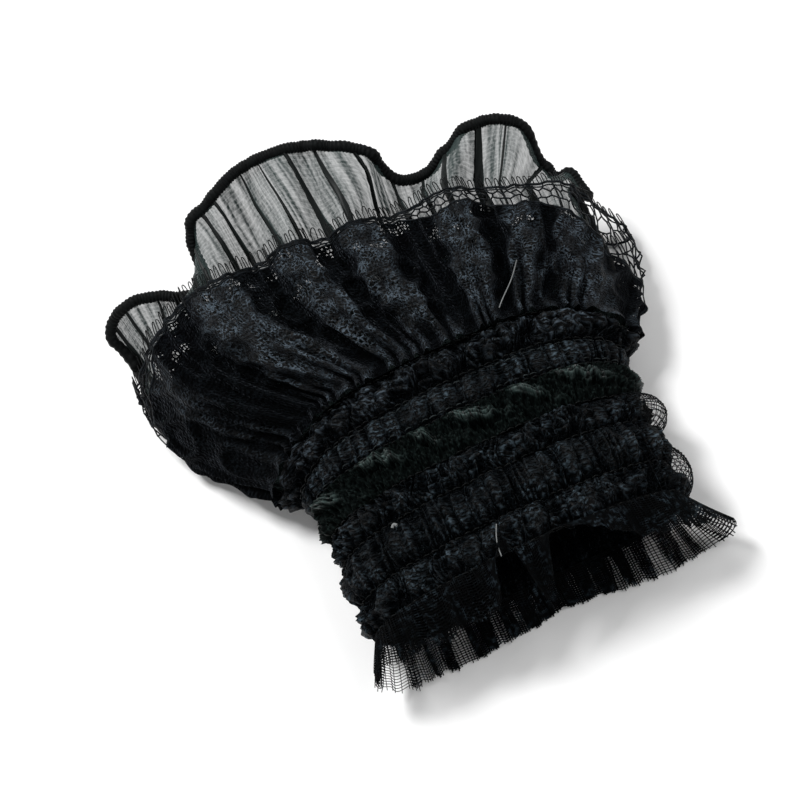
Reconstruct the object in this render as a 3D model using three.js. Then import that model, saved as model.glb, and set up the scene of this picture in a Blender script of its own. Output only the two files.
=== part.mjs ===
// A black elastic lace cuff, lying flattened on its side. Millimetres, +Z up.
// The wrist opening faces -Y and the flared frills face +Y. The floor is Z = 0.
import * as THREE from "three";

// Sleeve: the elastic tube round the wrist
const SLEEVE_WIDTH = 74.5;
const SLEEVE_HEIGHT = 20;
const SLEEVE_WALL = 1.2;
const SLEEVE_GATHERS = 26;
const SLEEVE_GATHER_DEPTH = 0.5;

// Rows of gathers and ruches round the sleeve, from the wrist opening to the frills
const HEM_WIDTH = 8;
const HEM_HEIGHT = 2.9;
const PLEATED_WIDTH = 11;
const PLEATED_HEIGHT = 4;
const SMALL_WIDTH = 7.4;
const SMALL_HEIGHT = 3.1;
const RIBBON_WIDTH = 9.8;
const RIBBON_HEIGHT = 4.3;
const BAND_WIDTH = 7.6;
const BAND_HEIGHT = 2.2;
const HEADING_WIDTH = 8;
const HEADING_HEIGHT = 3.9;
const PLEAT_PITCH = 6.5;
const RIBBON_PITCH = 9.6;
const BAND_PITCH = 5.4;

// Frills
const NET_LENGTH = 10.5;
const NET_WALL = 1;
const NET_FLARE = 3;
const NET_FLUTE_DEPTH = 2.4;
const LACE_LENGTH = 38;
const LACE_WALL = 1.4;
const LACE_CORD_THICKNESS = 1.4;
const ORGANZA_LENGTH = 57.6;
const ORGANZA_WALL = 1.1;
const ROLLED_EDGE_THICKNESS = 2.3;

// Flare: how far the frills' edges lie from the sleeve's middle and over the floor, and how far
// the seam dips towards the wrist and swells sideways at the cuff's two sides
const FLARE_SPREAD = 70;
const FLARE_HEIGHT = 41.5;
const SIDE_DIP = 11;
const SIDE_SWELL = 7.5;

// Openwork border of the lace
const BORDER_HOLE_LENGTH = 3.6;
const BORDER_BAR = 1.3;

// Clearances between pieces
const SEAT_GAP = 0.4;
const LAYER_GAP = 0.7;
const ROW_GAP = 0.5;
const EDGE_GAP = 0.3;
const FRILL_OVERLAP = 2.5;

const COLUMNS = 96;
const NET_COLUMNS = 64;

// The layers that lie under the sleeve lift it off the floor
const LACE_INSIDE = SEAT_GAP + ORGANZA_WALL + LAYER_GAP;
const LIFT = LACE_INSIDE + LACE_WALL;

// A row for each gathered row: its size, the pitch of its folds, how far a fold slants as a
// share of the pitch, and its height over each fold as shares of the row's own height
const gathers = (name, width, height, pitch, slant, fold) => ({ name, width, height, pitch, slant, fold });
const ROWS = [
  gathers("hem_gathers", HEM_WIDTH, HEM_HEIGHT, PLEAT_PITCH, 0.15, [1, 0.35]),
  gathers("pleated_net_ruche", PLEATED_WIDTH, PLEATED_HEIGHT, PLEAT_PITCH, 0, [1, 0.3]),
  gathers("small_ruche", SMALL_WIDTH, SMALL_HEIGHT, PLEAT_PITCH, 0.2, [1, 0.35]),
  gathers("ribbon_ruche", RIBBON_WIDTH, RIBBON_HEIGHT, RIBBON_PITCH, 0.9, [1, 0.6, 0.2]),
  gathers("stitched_band", BAND_WIDTH, BAND_HEIGHT, BAND_PITCH, 0, [1, 0.5]),
  gathers("lace_heading", HEADING_WIDTH, HEADING_HEIGHT, PLEAT_PITCH, 0.3, [1, 0.3]),
];

// Free edge of the lace. at: share of the way round, from the right over the top to the left
// (0.5) and back along the floor. across: share of the spread, from the sleeve's middle.
// reach: share of the lace's length. height: share of the flare's height.
const LACE_EDGE = [
  { at: 0.0, across: 0.815, reach: 0.54, height: 0.16 },
  { at: 0.028, across: 0.735, reach: 0.59, height: 0.46 },
  { at: 0.055, across: 0.657, reach: 0.67, height: 0.7 },
  { at: 0.078, across: 0.564, reach: 0.77, height: 0.66 },
  { at: 0.1, across: 0.475, reach: 0.755, height: 0.78 },
  { at: 0.121, across: 0.4, reach: 0.895, height: 0.68 },
  { at: 0.142, across: 0.32, reach: 0.835, height: 0.87 },
  { at: 0.2, across: 0.09, reach: 0.985, height: 0.68 },
  { at: 0.24, across: -0.07, reach: 0.862, height: 0.97 },
  { at: 0.262, across: -0.155, reach: 0.942, height: 0.82 },
  { at: 0.285, across: -0.26, reach: 0.897, height: 0.99 },
  { at: 0.325, across: -0.41, reach: 1.05, height: 0.72 },
  { at: 0.362, across: -0.55, reach: 0.952, height: 0.9 },
  { at: 0.415, across: -0.735, reach: 1.06, height: 0.64 },
  { at: 0.455, across: -0.88, reach: 0.937, height: 0.54 },
  { at: 0.485, across: -0.985, reach: 0.927, height: 0.24 },
  { at: 0.51, across: -1.0, reach: 0.905, height: 0.08 },
  { at: 0.54, across: -0.915, reach: 0.947, height: 0.03 },
  { at: 0.57, across: -0.79, reach: 0.955, height: 0.11 },
  { at: 0.6, across: -0.69, reach: 0.989, height: 0.03 },
  { at: 0.63, across: -0.59, reach: 0.958, height: 0.15 },
  { at: 0.66, across: -0.48, reach: 0.989, height: 0.03 },
  { at: 0.69, across: -0.37, reach: 0.947, height: 0.14 },
  { at: 0.72, across: -0.26, reach: 0.979, height: 0.03 },
  { at: 0.75, across: -0.14, reach: 0.937, height: 0.15 },
  { at: 0.78, across: -0.02, reach: 0.958, height: 0.03 },
  { at: 0.81, across: 0.1, reach: 0.905, height: 0.14 },
  { at: 0.84, across: 0.22, reach: 0.905, height: 0.03 },
  { at: 0.87, across: 0.34, reach: 0.842, height: 0.14 },
  { at: 0.9, across: 0.46, reach: 0.81, height: 0.03 },
  { at: 0.93, across: 0.58, reach: 0.737, height: 0.13 },
  { at: 0.96, across: 0.73, reach: 0.57, height: 0.03 },
  { at: 0.985, across: 0.82, reach: 0.49, height: 0.07 },
];

// Free edge of the organza past the lace, with the same columns and its own length
const ORGANZA_EDGE = [
  { at: 0.0, across: 0.75, reach: 0.42, height: 0.2 },
  { at: 0.03, across: 0.74, reach: 0.46, height: 0.36 },
  { at: 0.058, across: 0.715, reach: 0.583, height: 0.44 },
  { at: 0.074, across: 0.655, reach: 0.62, height: 0.46 },
  { at: 0.085, across: 0.645, reach: 0.68, height: 0.5 },
  { at: 0.095, across: 0.64, reach: 0.755, height: 0.68 },
  { at: 0.112, across: 0.571, reach: 0.812, height: 0.78 },
  { at: 0.133, across: 0.476, reach: 0.828, height: 0.82 },
  { at: 0.15, across: 0.403, reach: 0.818, height: 0.8 },
  { at: 0.18, across: 0.264, reach: 0.776, height: 0.68 },
  { at: 0.203, across: 0.154, reach: 0.792, height: 0.73 },
  { at: 0.222, across: 0.11, reach: 0.865, height: 0.92 },
  { at: 0.246, across: 0.0, reach: 0.932, height: 1.02 },
  { at: 0.274, across: -0.117, reach: 0.984, height: 1.06 },
  { at: 0.303, across: -0.249, reach: 1.0, height: 1.08 },
  { at: 0.33, across: -0.366, reach: 0.984, height: 1.06 },
  { at: 0.35, across: -0.454, reach: 0.948, height: 1.02 },
  { at: 0.374, across: -0.557, reach: 0.901, height: 0.94 },
  { at: 0.388, across: -0.585, reach: 0.85, height: 0.84 },
  { at: 0.404, across: -0.59, reach: 0.765, height: 0.68 },
  { at: 0.416, across: -0.67, reach: 0.765, height: 0.61 },
  { at: 0.438, across: -0.77, reach: 0.807, height: 0.64 },
  { at: 0.456, across: -0.864, reach: 0.818, height: 0.67 },
  { at: 0.47, across: -0.937, reach: 0.807, height: 0.62 },
  { at: 0.481, across: -0.981, reach: 0.784, height: 0.52 },
  { at: 0.49, across: -0.966, reach: 0.764, height: 0.4 },
  { at: 0.502, across: -0.914, reach: 0.729, height: 0.26 },
  { at: 0.53, across: -0.86, reach: 0.719, height: 0.15 },
  { at: 0.57, across: -0.72, reach: 0.75, height: 0.19 },
  { at: 0.61, across: -0.6, reach: 0.719, height: 0.1 },
  { at: 0.65, across: -0.47, reach: 0.771, height: 0.18 },
  { at: 0.69, across: -0.34, reach: 0.73, height: 0.1 },
  { at: 0.73, across: -0.2, reach: 0.771, height: 0.18 },
  { at: 0.77, across: -0.06, reach: 0.719, height: 0.1 },
  { at: 0.81, across: 0.08, reach: 0.73, height: 0.17 },
  { at: 0.85, across: 0.22, reach: 0.677, height: 0.1 },
  { at: 0.89, across: 0.37, reach: 0.646, height: 0.16 },
  { at: 0.93, across: 0.54, reach: 0.5625, height: 0.1 },
  { at: 0.965, across: 0.69, reach: 0.46, height: 0.12 },
];

// Folds of the net frill: out is a share of its flute depth and reach a share of its length
const NET_FOLDS = [
  { at: 0.0, out: 0.6, reach: 0.75 },
  { at: 0.03, out: -0.4, reach: 0.8 },
  { at: 0.06, out: 0.8, reach: 0.74 },
  { at: 0.1, out: 0.3, reach: 0.66 },
  { at: 0.14, out: 1, reach: 0.6 },
  { at: 0.2, out: 1.5, reach: 0.5 },
  { at: 0.25, out: 1, reach: 0.22 },
  { at: 0.29, out: 0.2, reach: 0.3 },
  { at: 0.33, out: 0.9, reach: 0.84 },
  { at: 0.37, out: -0.2, reach: 0.6 },
  { at: 0.42, out: 0.8, reach: 0.7 },
  { at: 0.46, out: -0.3, reach: 0.8 },
  { at: 0.5, out: 0.7, reach: 0.85 },
  { at: 0.54, out: 0, reach: 0.92 },
  { at: 0.57, out: -0.9, reach: 0.95 },
  { at: 0.6, out: 0, reach: 1 },
  { at: 0.64, out: -1, reach: 0.94 },
  { at: 0.68, out: 0, reach: 0.97 },
  { at: 0.72, out: -1, reach: 0.92 },
  { at: 0.76, out: 0, reach: 0.95 },
  { at: 0.8, out: -1, reach: 0.95 },
  { at: 0.84, out: 0, reach: 0.97 },
  { at: 0.88, out: -1, reach: 1 },
  { at: 0.92, out: 0, reach: 1 },
  { at: 0.96, out: -0.6, reach: 0.92 },
];

const cloth = (color, roughness) =>
  new THREE.MeshStandardMaterial({ color, roughness, metalness: 0, side: THREE.DoubleSide });
const NET = cloth(0x101312, 0.85);
const LACE = cloth(0x0c0e0e, 0.9);
const SATIN = cloth(0x16201e, 0.45);
const ORGANZA = cloth(0x39423f, 0.55);
const THREAD = cloth(0x060707, 0.8);

const smooth = (t) => {
  const s = THREE.MathUtils.clamp(t, 0, 1);
  return s * s * (3 - 2 * s);
};

// A column of a table, eased between its rows, all the way round
function eased(table, column, at) {
  const share = THREE.MathUtils.euclideanModulo(at, 1);
  let next = table.findIndex((row) => row.at > share);
  if (next < 0) next = table.length;
  const from = table[next - 1];
  const to = next < table.length ? table[next] : { ...table[0], at: 1 };
  const t = (share - from.at) / (to.at - from.at);
  return THREE.MathUtils.lerp(from[column], to[column], smooth(t));
}

// The sleeve's outer section: crowned above, pressed flat below, widest near its middle
const WIDEST = 0.42;
const TOP_ROUNDNESS = 2 / 2.2;
const UNDER_ROUNDNESS = 2 / 3.4;
const PRESSED = 1.06;

function sectionPoint(turn) {
  const across = Math.cos(turn);
  const up = Math.sin(turn);
  const power = up >= 0 ? TOP_ROUNDNESS : UNDER_ROUNDNESS;
  const x = (SLEEVE_WIDTH / 2) * Math.sign(across) * Math.abs(across) ** power;
  const climb = Math.abs(up) ** power;
  const share = up >= 0 ? WIDEST + (1 - WIDEST) * climb : Math.max(0, WIDEST - WIDEST * PRESSED * climb);
  return new THREE.Vector2(x, share * SLEEVE_HEIGHT);
}

// Half of the section as even steps of length, so that folds keep their pitch
const STEPS = 400;
function halfSection(from) {
  const points = [];
  for (let i = 0; i <= STEPS; i++) points.push(sectionPoint(from + (Math.PI * i) / STEPS));
  const along = [0];
  for (let i = 1; i <= STEPS; i++) along.push(along[i - 1] + points[i].distanceTo(points[i - 1]));
  return { points, along };
}
const UPPER = halfSection(0);
const LOWER = halfSection(Math.PI);
const GIRTH = UPPER.along[STEPS] + LOWER.along[STEPS];

function onHalf(half, share) {
  const wanted = THREE.MathUtils.clamp(share, 0, 1) * half.along[STEPS];
  let i = half.along.findIndex((length) => length >= wanted);
  i = Math.max(1, i);
  const t = (wanted - half.along[i - 1]) / (half.along[i] - half.along[i - 1]);
  return half.points[i - 1].clone().lerp(half.points[i], t);
}

// The section at a share of the way round: 0 is the right side, 0.25 the top, 0.5 the left side
function sectionAt(at) {
  const share = THREE.MathUtils.euclideanModulo(at, 1);
  return share < 0.5 ? onHalf(UPPER, share * 2) : onHalf(LOWER, share * 2 - 1);
}

const NORMAL_STEP = 0.004;
function outwardAt(at) {
  const along = sectionAt(at + NORMAL_STEP).sub(sectionAt(at - NORMAL_STEP));
  return new THREE.Vector2(along.y, -along.x).normalize();
}

// How far the place is pressed on the floor: 1 on the flat underside, 0 on the sides and above
const PRESS_TO = 0.3;
function pressAt(at) {
  const share = THREE.MathUtils.euclideanModulo(at, 1);
  if (share < 0.5) return 0;
  return 1 - smooth(sectionAt(at).y / (SLEEVE_HEIGHT * PRESS_TO));
}

// Places along the cuff, from the tip of the net frill
const SLEEVE_START = NET_LENGTH;
const rowStarts = [];
let rowEnd = SLEEVE_START;
for (const row of ROWS) {
  rowStarts.push(rowEnd + ROW_GAP);
  rowEnd += ROW_GAP + row.width;
}
const SEAM = rowEnd + ROW_GAP;

// How much a place takes part in the dip and the swell: 1 at the seam's two sides
const SIDES = [0.52, 0.98];
const SIDE_WIDTH = 0.06;
const SIDE_POWER = 4;
function sideShare(at, y) {
  const along = THREE.MathUtils.clamp((y - SLEEVE_START) / (SEAM - SLEEVE_START), 0, 1);
  const near = SIDES.map((place) => THREE.MathUtils.euclideanModulo(at - place + 0.5, 1) - 0.5)
    .map((away) => Math.exp(-((away / SIDE_WIDTH) ** 2)))
    .reduce((sum, share) => sum + share);
  return near * along ** SIDE_POWER;
}

// A point on the section moved outwards, at a place along the cuff, never below the floor
function onSleeve(at, out, y) {
  const p = sectionAt(at);
  const n = outwardAt(at);
  const side = sideShare(at, y);
  const x = p.x + n.x * out + Math.sign(p.x) * SIDE_SWELL * side;
  return new THREE.Vector3(x, y - SIDE_DIP * side, Math.max(0, LIFT + p.y + n.y * out));
}

const LACE_MIDDLE = LACE_INSIDE + LACE_WALL / 2;
const ORGANZA_MIDDLE = SEAT_GAP + ORGANZA_WALL / 2;
const FOOT = SEAM + FRILL_OVERLAP;
const laceEnd = (at) => SEAM + LACE_LENGTH * eased(LACE_EDGE, "reach", at);
const laceCordEnd = (at) => laceEnd(at) + EDGE_GAP + LACE_CORD_THICKNESS + LAYER_GAP;
const organzaEnd = (at) => SEAM + ORGANZA_LENGTH * eased(ORGANZA_EDGE, "reach", at);

// The place of a frill's free edge, brought in to the surface that carries both frills
function edgeFoot(table, at, end, layer) {
  const n = outwardAt(at);
  const x = FLARE_SPREAD * eased(table, "across", at) - n.x * layer;
  return new THREE.Vector3(x, end, FLARE_HEIGHT * eased(table, "height", at) - n.y * layer);
}

function movedOut(p, at, out) {
  const n = outwardAt(at);
  return new THREE.Vector3(p.x + n.x * out, p.y, Math.max(0, p.z + n.y * out));
}

// A point of the flare, moved outwards. It opens fast at its foot and slowly at the lace's edge.
const FLARE_EASE = 2;
function onFlare(at, out, y) {
  if (y <= FOOT) return onSleeve(at, out, y);
  const foot = onSleeve(at, 0, FOOT);
  const edge = edgeFoot(LACE_EDGE, at, laceEnd(at), LACE_MIDDLE);
  const share = (y - FOOT) / (laceEnd(at) - FOOT);
  const opened = 1 - (1 - share) ** FLARE_EASE;
  const p = foot.clone().lerp(edge, opened);
  p.y = THREE.MathUtils.lerp(foot.y, edge.y, share);
  return movedOut(p, at, out);
}

// A point of the organza: on the flare under the lace, and past it towards its own free edge
function onOrganza(at, out, y) {
  const start = laceCordEnd(at);
  if (y <= start) return onFlare(at, out, y);
  const edge = edgeFoot(ORGANZA_EDGE, at, organzaEnd(at), ORGANZA_MIDDLE);
  const p = onFlare(at, 0, start).lerp(edge, (y - start) / (organzaEnd(at) - start));
  return movedOut(p, at, out);
}

// A closed surface from points and faces that may have four corners
class Surface {
  constructor() {
    this.positions = [];
    this.index = [];
  }
  point(p) {
    this.positions.push(p.x, p.y, p.z);
    return this.positions.length / 3 - 1;
  }
  quad(a, b, c, d) {
    this.index.push(a, b, c, a, c, d);
  }
  mesh(name, material) {
    const geometry = new THREE.BufferGeometry();
    geometry.setAttribute("position", new THREE.Float32BufferAttribute(this.positions, 3));
    geometry.setIndex(this.index);
    geometry.computeVertexNormals();
    const mesh = new THREE.Mesh(geometry, material);
    mesh.name = name;
    return mesh;
  }
}

// A tube of cloth with a wall: columns go round it and rows along it.
// pointAt(column, row, outer) places a corner, and isOpen(column, row) leaves a hole.
function clothTube(columns, rows, pointAt, isOpen = () => false) {
  const surface = new Surface();
  const corner = [0, 1].map((outer) =>
    Array.from({ length: columns }, (_, i) =>
      Array.from({ length: rows + 1 }, (_, j) => surface.point(pointAt(i, j, outer))),
    ),
  );
  const at = (outer, i, j) => corner[outer][(i + columns) % columns][j];
  const open = (i, j) => j < 0 || j >= rows || isOpen((i + columns) % columns, j);
  for (let i = 0; i < columns; i++) {
    for (let j = 0; j < rows; j++) {
      if (open(i, j)) continue;
      surface.quad(at(1, i, j), at(1, i, j + 1), at(1, i + 1, j + 1), at(1, i + 1, j));
      surface.quad(at(0, i, j), at(0, i + 1, j), at(0, i + 1, j + 1), at(0, i, j + 1));
      if (open(i, j - 1)) surface.quad(at(0, i, j), at(1, i, j), at(1, i + 1, j), at(0, i + 1, j));
      if (open(i, j + 1))
        surface.quad(at(1, i, j + 1), at(0, i, j + 1), at(0, i + 1, j + 1), at(1, i + 1, j + 1));
      if (open(i - 1, j)) surface.quad(at(1, i, j), at(0, i, j), at(0, i, j + 1), at(1, i, j + 1));
      if (open(i + 1, j))
        surface.quad(at(0, i + 1, j), at(1, i + 1, j), at(1, i + 1, j + 1), at(0, i + 1, j + 1));
    }
  }
  return surface;
}

// A closed ring: columns go round the cuff and sides round its own section
function ring(columns, sides, pointAt) {
  const surface = new Surface();
  const corner = Array.from({ length: columns }, (_, i) =>
    Array.from({ length: sides }, (_, k) => surface.point(pointAt(i, k))),
  );
  const at = (i, k) => corner[i % columns][k % sides];
  for (let i = 0; i < columns; i++)
    for (let k = 0; k < sides; k++)
      surface.quad(at(i, k), at(i, k + 1), at(i + 1, k + 1), at(i + 1, k));
  return surface;
}

// Sleeve
const SLEEVE_COLUMNS = SLEEVE_GATHERS * 2;
function sleeve() {
  const places = [SLEEVE_START, ...rowStarts.slice(3), FOOT];
  const pointAt = (i, j, outer) => {
    const gather = i % 2 === 0 ? SLEEVE_GATHER_DEPTH : 0;
    return onSleeve(i / SLEEVE_COLUMNS, outer ? 0 : -SLEEVE_WALL - gather, places[j]);
  };
  return clothTube(SLEEVE_COLUMNS, places.length - 1, pointAt).mesh("sleeve", NET);
}

// A gathered row: seated on the sleeve, highest along its middle, thin at its stitched edges
const ROW_PROFILE = [
  { along: 0, out: 0, full: false },
  { along: 0, out: 0.45, full: false },
  { along: 0.5, out: 1, full: true },
  { along: 1, out: 0.45, full: false },
  { along: 1, out: 0, full: false },
];
function gatheredRow(row, start, material) {
  const folds = Math.round(GIRTH / row.pitch);
  const columns = folds * row.fold.length;
  const pointAt = (i, k) => {
    const side = ROW_PROFILE[k];
    const at = i / columns;
    const fold = row.fold[i % row.fold.length];
    const loose = row.height * side.out * (side.full ? fold : 1);
    const pressed = side.out > 0 ? LIFT - SEAT_GAP : 0;
    const height = THREE.MathUtils.lerp(loose, pressed, pressAt(at));
    const slant = side.out > 0 ? ((side.along - 0.5) * row.slant * row.pitch) / GIRTH : 0;
    return onSleeve(at + slant * (1 - pressAt(at)), SEAT_GAP + height, start + side.along * row.width);
  };
  return ring(columns, ROW_PROFILE.length, pointAt).mesh(row.name, material);
}

// Net frill round the wrist opening, with its free edge at y = 0 where it reaches farthest
const NET_STEPS = 3;
function netFrill() {
  const root = SLEEVE_START - EDGE_GAP;
  const pointAt = (i, j, outer) => {
    const at = i / NET_COLUMNS;
    const share = 1 - j / NET_STEPS;
    const length = (NET_LENGTH - EDGE_GAP) * eased(NET_FOLDS, "reach", at);
    const out = share * (NET_FLARE + NET_FLUTE_DEPTH * eased(NET_FOLDS, "out", at));
    return onSleeve(at, out + (outer ? 0 : -NET_WALL), root - share * length);
  };
  return clothTube(NET_COLUMNS, NET_STEPS, pointAt).mesh("net_frill", NET);
}

// Both frills share these places up to the border of the lace: sleeve's end, half way, border
const BORDER = BORDER_BAR + BORDER_HOLE_LENGTH;
function sharedPlaces(at) {
  const border = laceEnd(at) - BORDER;
  return [FOOT, THREE.MathUtils.lerp(FOOT, border, 0.5), border];
}

// Lace frill with a row of holes along its free edge
function laceFrill() {
  const places = (at) => [SEAM + EDGE_GAP, ...sharedPlaces(at), laceEnd(at) - BORDER_BAR, laceEnd(at)];
  const rows = places(0).length - 1;
  const pointAt = (i, j, outer) => {
    const at = i / COLUMNS;
    return onFlare(at, LACE_INSIDE + outer * LACE_WALL, places(at)[j]);
  };
  const isOpen = (i, j) => j === rows - 2 && i % 2 === 0;
  return clothTube(COLUMNS, rows, pointAt, isOpen).mesh("lace_frill", LACE);
}

// Organza frill behind the lace
function organzaFrill() {
  const places = (at) => {
    const end = organzaEnd(at);
    const out = laceCordEnd(at);
    return [SEAM + EDGE_GAP, ...sharedPlaces(at), out, THREE.MathUtils.lerp(out, end, 0.5), end];
  };
  const rows = places(0).length - 1;
  const pointAt = (i, j, outer) => {
    const at = i / COLUMNS;
    return onOrganza(at, SEAT_GAP + outer * ORGANZA_WALL, places(at)[j]);
  };
  return clothTube(COLUMNS, rows, pointAt).mesh("organza_frill", ORGANZA);
}

// A cord just past the free edge of a frill, square to the way that the edge runs
function edgeCord(name, sides, thickness, edgeAt) {
  const edge = Array.from({ length: COLUMNS }, (_, i) => edgeAt(i / COLUMNS));
  const pointAt = (i, k) => {
    const run = edge[(i + 1) % COLUMNS].clone().sub(edge[(i + COLUMNS - 1) % COLUMNS]).normalize();
    const past = new THREE.Vector3(0, 1, 0).projectOnPlane(run).normalize();
    const outwards = past.clone().cross(run);
    const turn = (Math.PI * 2 * (k + 0.5)) / sides;
    const p = edge[i].clone();
    p.addScaledVector(past, EDGE_GAP + (thickness / 2) * (1 + Math.sin(turn)));
    p.addScaledVector(outwards, (thickness / 2) * Math.cos(turn));
    p.z = Math.max(0, p.z);
    return p;
  };
  return ring(COLUMNS, sides, pointAt).mesh(name, THREAD);
}
const laceCord = () =>
  edgeCord("lace_edge_cord", 3, LACE_CORD_THICKNESS, (at) => onFlare(at, LACE_MIDDLE, laceEnd(at)));
const rolledEdge = () =>
  edgeCord("organza_rolled_edge", 4, ROLLED_EDGE_THICKNESS, (at) =>
    onOrganza(at, ORGANZA_MIDDLE, organzaEnd(at)),
  );

const ROW_MATERIALS = { ribbon_ruche: SATIN, stitched_band: THREAD, lace_heading: LACE };
const cuff = new THREE.Group();
cuff.add(sleeve(), netFrill());
ROWS.forEach((row, k) => cuff.add(gatheredRow(row, rowStarts[k], ROW_MATERIALS[row.name] ?? NET)));
cuff.add(laceFrill(), organzaFrill(), laceCord(), rolledEdge());

// The cuff rests with the middle of its underside's box on the origin
const box = new THREE.Box3().setFromObject(cuff);
const middle = box.getCenter(new THREE.Vector3());
cuff.position.set(-middle.x, -middle.y, -box.min.z);
cuff.name = "lace_cuff";

export default cuff;
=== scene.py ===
"""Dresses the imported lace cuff: gathered net rows, fluted lace, see-through organza and their edges."""

import math

import bpy
import numpy as np
from mathutils import Matrix, Vector


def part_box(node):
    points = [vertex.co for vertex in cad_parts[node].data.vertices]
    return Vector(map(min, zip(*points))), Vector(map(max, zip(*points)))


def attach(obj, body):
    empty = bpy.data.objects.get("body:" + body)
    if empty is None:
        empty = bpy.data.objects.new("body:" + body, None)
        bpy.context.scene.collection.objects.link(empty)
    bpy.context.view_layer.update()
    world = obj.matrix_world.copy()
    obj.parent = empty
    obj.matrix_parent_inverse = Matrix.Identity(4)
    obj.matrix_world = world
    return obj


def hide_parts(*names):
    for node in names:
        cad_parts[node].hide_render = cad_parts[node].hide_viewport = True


bl_info = {
    "name": "Lace cuff",
    "version": (1, 0, 0),
    "blender": (4, 5, 0),
    "location": "3D View > Sidebar > Cuff",
    "description": "Builds a frilled elastic lace cuff lying on its side",
    "category": "Add Mesh",
}

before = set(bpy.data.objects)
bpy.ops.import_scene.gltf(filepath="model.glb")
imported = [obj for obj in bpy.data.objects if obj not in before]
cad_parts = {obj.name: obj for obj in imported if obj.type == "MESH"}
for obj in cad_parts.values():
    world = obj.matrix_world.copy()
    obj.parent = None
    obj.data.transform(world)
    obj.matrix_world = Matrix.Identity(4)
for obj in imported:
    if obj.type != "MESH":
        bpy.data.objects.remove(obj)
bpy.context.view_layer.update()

TURN = 2 * math.pi
SLEEVE_LOW, SLEEVE_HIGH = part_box("sleeve")
SLEEVE_WIDTH = 0.0745
FRILL_OVERLAP = 0.0025
SEAM = SLEEVE_HIGH.y - FRILL_OVERLAP


def table(columns, *rows):
    """A table with named columns, for curves that close round the cuff."""
    return {name: np.array(values) for name, values in zip(columns.split(), zip(*rows))}


# Edge of the lace, from the right over the top to the left (at 0.5) and back along the floor.
# across is a share of the frills' spread, reach of the lace's length, height of the flare's height.
LACE_EDGE = table(
    "at across reach height",
    (0.000, 0.815, 0.540, 0.160),
    (0.028, 0.735, 0.590, 0.460),
    (0.055, 0.657, 0.670, 0.700),
    (0.078, 0.564, 0.770, 0.660),
    (0.100, 0.475, 0.755, 0.780),
    (0.121, 0.400, 0.895, 0.680),
    (0.142, 0.320, 0.835, 0.870),
    (0.200, 0.090, 0.985, 0.680),
    (0.240, -0.070, 0.862, 0.970),
    (0.262, -0.155, 0.942, 0.820),
    (0.285, -0.260, 0.897, 0.990),
    (0.325, -0.410, 1.050, 0.720),
    (0.362, -0.550, 0.952, 0.900),
    (0.415, -0.735, 1.060, 0.640),
    (0.455, -0.880, 0.937, 0.540),
    (0.485, -0.985, 0.927, 0.240),
    (0.510, -1.000, 0.905, 0.080),
    (0.540, -0.915, 0.947, 0.030),
    (0.570, -0.790, 0.955, 0.110),
    (0.600, -0.690, 0.989, 0.030),
    (0.630, -0.590, 0.958, 0.150),
    (0.660, -0.480, 0.989, 0.030),
    (0.690, -0.370, 0.947, 0.140),
    (0.720, -0.260, 0.979, 0.030),
    (0.750, -0.140, 0.937, 0.150),
    (0.780, -0.020, 0.958, 0.030),
    (0.810, 0.100, 0.905, 0.140),
    (0.840, 0.220, 0.905, 0.030),
    (0.870, 0.340, 0.842, 0.140),
    (0.900, 0.460, 0.810, 0.030),
    (0.930, 0.580, 0.737, 0.130),
    (0.960, 0.730, 0.570, 0.030),
    (0.985, 0.820, 0.490, 0.070),
)

# Edge of the organza, as shares of its own length and of the same spread
ORGANZA_EDGE = table(
    "at across reach height",
    (0.000, 0.750, 0.420, 0.200),
    (0.030, 0.740, 0.460, 0.360),
    (0.058, 0.715, 0.583, 0.440),
    (0.074, 0.655, 0.620, 0.460),
    (0.085, 0.645, 0.680, 0.500),
    (0.095, 0.640, 0.755, 0.680),
    (0.112, 0.571, 0.812, 0.780),
    (0.133, 0.476, 0.828, 0.820),
    (0.150, 0.403, 0.818, 0.800),
    (0.180, 0.264, 0.776, 0.680),
    (0.203, 0.154, 0.792, 0.730),
    (0.222, 0.110, 0.865, 0.920),
    (0.246, 0.000, 0.932, 1.020),
    (0.274, -0.117, 0.984, 1.060),
    (0.303, -0.249, 1.000, 1.080),
    (0.330, -0.366, 0.984, 1.060),
    (0.350, -0.454, 0.948, 1.020),
    (0.374, -0.557, 0.901, 0.940),
    (0.388, -0.585, 0.850, 0.840),
    (0.404, -0.590, 0.765, 0.680),
    (0.416, -0.670, 0.765, 0.610),
    (0.438, -0.770, 0.807, 0.640),
    (0.456, -0.864, 0.818, 0.670),
    (0.470, -0.937, 0.807, 0.620),
    (0.481, -0.981, 0.784, 0.520),
    (0.490, -0.966, 0.764, 0.400),
    (0.502, -0.914, 0.729, 0.260),
    (0.530, -0.860, 0.719, 0.150),
    (0.570, -0.720, 0.750, 0.190),
    (0.610, -0.600, 0.719, 0.100),
    (0.650, -0.470, 0.771, 0.180),
    (0.690, -0.340, 0.730, 0.100),
    (0.730, -0.200, 0.771, 0.180),
    (0.770, -0.060, 0.719, 0.100),
    (0.810, 0.080, 0.730, 0.170),
    (0.850, 0.220, 0.677, 0.100),
    (0.890, 0.370, 0.646, 0.160),
    (0.930, 0.540, 0.562, 0.100),
    (0.965, 0.690, 0.460, 0.120),
)

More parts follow.
